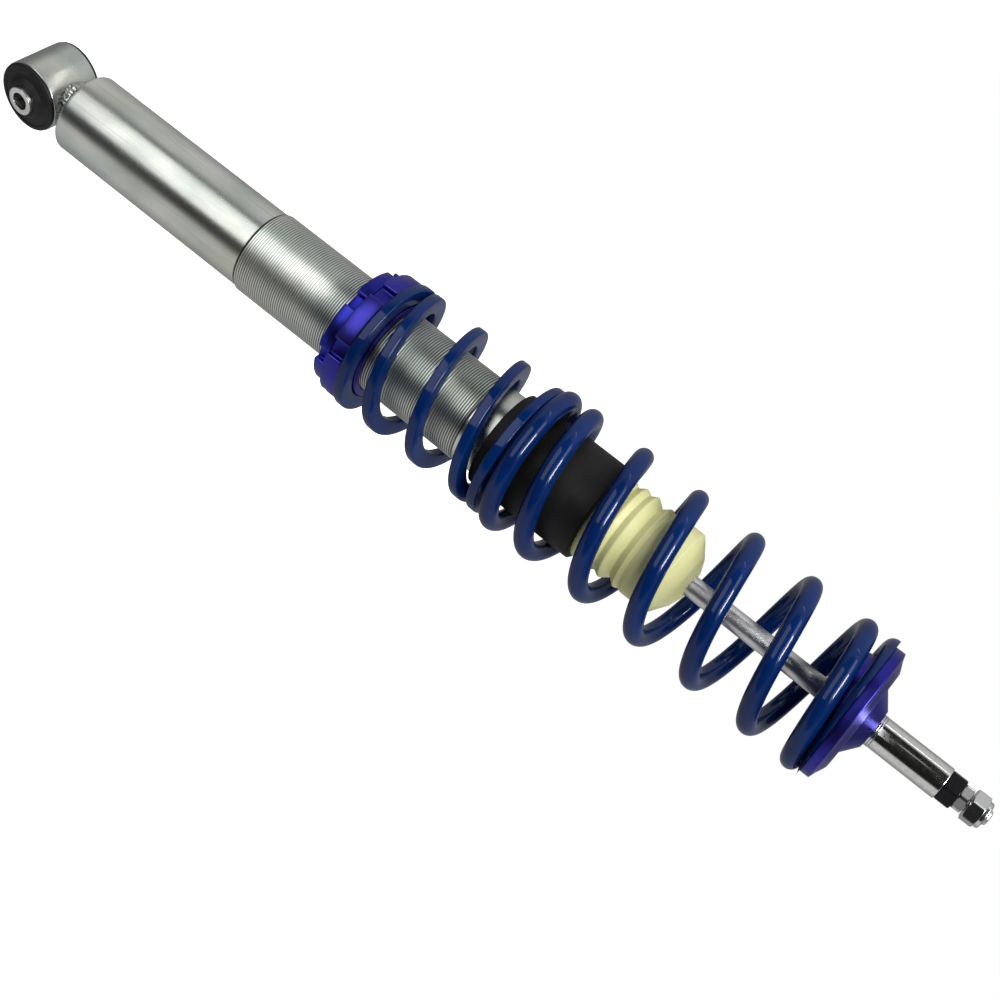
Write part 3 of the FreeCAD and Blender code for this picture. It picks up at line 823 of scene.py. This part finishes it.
def washers_and_sleeve():
    radius, low, high = span("thrust_washers")
    middle = (low + high) / 2
    gap = 0.04 * MM
    verts, faces = revolve(ring_outline(radius, STUD_BORE, low, middle - gap, 0.25 * MM),
                           SMALL_ROUND)
    more, quads = revolve(ring_outline(radius, STUD_BORE, middle + gap, high, 0.25 * MM),
                          SMALL_ROUND, True, len(verts))
    make("thrust_washers_pressed", verts + more, faces + quads, "upper_seat",
         ["thrust_washers"], "bright_zinc")

    radius, low, high = span("spacer_sleeve")
    outline = ring_outline(radius, STUD_BORE, low, high, 0.6 * MM, 0.4 * MM)
    verts, faces = revolve(outline, SMALL_ROUND)
    make("spacer_sleeve_plated", verts, faces, "upper_seat", ["spacer_sleeve"],
         "polished_chrome")


def nuts():
    for name, node, flats, degrees, slot in (
            ("clamp_nut_black", "clamp_nut", 17.0 * MM, 15, "black_oxide"),
            ("jam_nut_zinc", "jam_nut", 14.0 * MM, 10, "bright_zinc")):
        _, low, high = span(node)
        verts, faces = hex_nut(flats, low, high, STUD_R)
        make(name, turned_by(verts, degrees), faces, "rod", [node], slot, 24)

    _, low, high = span("nyloc_nut")
    top = low + 8.1 * MM                 # of the hexagon; the round crown stands on it
    root, crown_r, lip = top - 1.0 * MM, 7.7 * MM, high - 0.6 * MM
    mouth, inner = STUD_R + 0.6 * MM, STUD_R + 1.6 * MM
    verts, faces = hex_nut(17.0 * MM, low, top, STUD_R)
    crown = rounded([(inner, root, 0), (crown_r, root, 0), (crown_r, high, 1.5 * MM),
                     (mouth, high, 0.4 * MM), (mouth, lip, 0.1 * MM), (inner, lip, 0)], 6)
    more, quads = revolve(crown, NUT_ROUND, True, len(verts))
    make("nyloc_nut_zinc", verts + more, faces + quads, "rod", ["nyloc_nut"], "bright_zinc",
         24)


eye()
weld()
body()
dust_tube()
bump_stop()
notched_collar("lock_ring_anodised", "lock_ring", "lock", "blue_anodised", 32.4 * MM,
               9.0 * MM, 25.5)
notched_collar("lower_perch_anodised", "lower_perch", "perch", "violet_anodised", 36.0 * MM,
               10.0 * MM, 7.5, 30.6 * MM)
springs()
rod()
upper_perch()
washers_and_sleeve()
nuts()

# ---- camera -------------------------------------------------------------------------------
TILT = math.radians(13.05)       # how far the camera looks down on the upright strut
ROLL = math.radians(38.42)       # the strut's slant in the picture
LENS, SENSOR = 61.2, 36.0        # mm
STAND = (0.9004, -0.0271, 0.579)         # the camera's place: toward, sideways, upward

toward = Vector((math.cos(FRONT), math.sin(FRONT), 0))
sideways = Vector((math.cos(FRONT - math.pi / 2), math.sin(FRONT - math.pi / 2), 0))
upward = Vector((0, 0, 1))


def placed(place):
    """The point at (toward, sideways, upward) metres from the eye."""
    return place[0] * toward + place[1] * sideways + place[2] * upward


back = math.sin(TILT) * upward + math.cos(TILT) * toward
strut_way = math.cos(TILT) * upward - math.sin(TILT) * toward
right = math.cos(ROLL) * strut_way + math.sin(ROLL) * sideways
top = -math.sin(ROLL) * strut_way + math.cos(ROLL) * sideways

camera_data = bpy.data.cameras.new("camera")
camera_data.lens = LENS
camera_data.sensor_width = SENSOR
camera = bpy.data.objects.new("camera", camera_data)
axes = Matrix((right, top, back)).transposed()
camera.matrix_world = Matrix.Translation(placed(STAND)) @ axes.to_4x4()
scene.collection.objects.link(camera)
scene.camera = camera

# ---- studio -------------------------------------------------------------------------------
middle = (cad_low + cad_high) / 2
# name, place, width, height, radiance, and whether it lights gloss or plain shade only
LIGHTS = (
    ("high_box", (0.70, 0.45, 1.30), 1.3, 0.5, 3.0, "gloss"),
    ("strip", (0.62, 0.30, 1.36), 0.6, 0.22, 36.0, "gloss"),
    ("low_box", (1.27, 0.27, -0.16), 1.27, 1.08, 2.0, "gloss"),
    ("fine_strip", (0.40, 1.24, 0.60), 0.05, 0.7, 3.0, "gloss"),
    ("faint_strip", (1.20, 0.42, 0.68), 0.16, 0.26, 0.35, "gloss"),
    ("key", (1.3, 0.5, 1.2), 1.0, 1.0, 8.5, "shade"),
    ("back_fill", (-1.3, -0.5, 1.0), 1.2, 1.2, 4.5, "shade"),
)
ROOM_RADIUS = 4.0
SIDE_GLOW, DARK_GLOW = 0.62, 0.012       # brightness of the room's pale and dark parts
FLOOR_SIZE, FLOOR_GAP = 3.0, 0.5 * MM    # half width, and clearance under the strut


def softbox(name, place, width, height, radiance, kind):
    """Area light that faces the strut's middle: kind is gloss or shade."""
    data = bpy.data.lights.new(name, "AREA")
    data.shape = "RECTANGLE"
    data.size = width
    data.size_y = height
    data.energy = radiance * math.pi * width * height
    lamp = bpy.data.objects.new(name, data)
    lamp.location = placed(place)
    lamp.rotation_euler = (lamp.location - middle).to_track_quat("Z", "Y").to_euler()
    lamp.visible_camera = False
    lamp.visible_diffuse = kind == "shade"
    lamp.visible_glossy = kind == "gloss"
    scene.collection.objects.link(lamp)


def room():
    """Surroundings that the object reflects: pale to both sides, dimmer behind the object
    and along the strut, dark on the camera's side. The camera sees the white world."""
    bpy.ops.mesh.primitive_uv_sphere_add(segments=48, ring_count=24, radius=ROOM_RADIUS,
                                         location=middle)
    ball = bpy.context.object
    ball.name = "room"
    s = Nodes("room")
    s.tree.nodes.clear()
    s.material.cycles.emission_sampling = "NONE"
    unit = s.node("ShaderNodeVectorMath", operation="NORMALIZE")
    s.put(s.node("ShaderNodeTexCoord").outputs["Object"], unit.inputs[0])

    def along(way):
        dot = s.node("ShaderNodeVectorMath", operation="DOT_PRODUCT")
        s.put(unit.outputs[0], dot.inputs[0])
        s.put(way, dot.inputs[1])
        return dot.outputs["Value"]

    side = s.ranged(along(toward), 0.38, 0.60, SIDE_GLOW, 0.0, "SMOOTHSTEP")
    behind = s.ranged(along(toward), -0.85, -0.10, 0.5, 1.0, "SMOOTHSTEP")
    level = s.ranged(s.maths("ABSOLUTE", along(upward)), 0.55, 0.95, 1.0, 0.30, "SMOOTHSTEP")
    glow = s.maths("MULTIPLY", s.maths("MULTIPLY", side, behind), level)
    emission = s.node("ShaderNodeEmission")
    s.put(s.maths("ADD", glow, DARK_GLOW), emission.inputs["Strength"])
    output = s.node("ShaderNodeOutputMaterial")
    s.put(emission.outputs[0], output.inputs["Surface"])
    ball.data.materials.append(s.material)
    ball.visible_camera = False
    ball.visible_shadow = True


def pale_floor():
    size = FLOOR_SIZE
    ground = cad_low.z - FLOOR_GAP
    mesh = bpy.data.meshes.new("floor")
    mesh.from_pydata([(-size, -size, ground), (size, -size, ground), (size, size, ground),
                      (-size, size, ground)], [], [(0, 1, 2, 3)])
    floor = bpy.data.objects.new("floor", mesh)
    pale = Nodes("pale_floor")
    shader = pale.tree.nodes["Principled BSDF"]
    pale.put((0.6, 0.6, 0.6), shader.inputs["Base Color"])
    pale.put(0.9, shader.inputs["Roughness"])
    pale.put((1, 1, 1), shader.inputs["Emission Color"])
    pale.put(0.95, shader.inputs["Emission Strength"])
    mesh.materials.append(pale.material)
    floor.visible_glossy = False
    floor.visible_shadow = False
    floor.visible_diffuse = False
    scene.collection.objects.link(floor)


world = bpy.data.worlds.new("studio")
world.use_nodes = True
background = world.node_tree.nodes["Background"]
background.inputs["Color"].default_value = (1, 1, 1, 1)
background.inputs["Strength"].default_value = 1.0
scene.world = world
scene.view_settings.view_transform = "Standard"
for light in LIGHTS:
    softbox(*light)
pale_floor()
room()
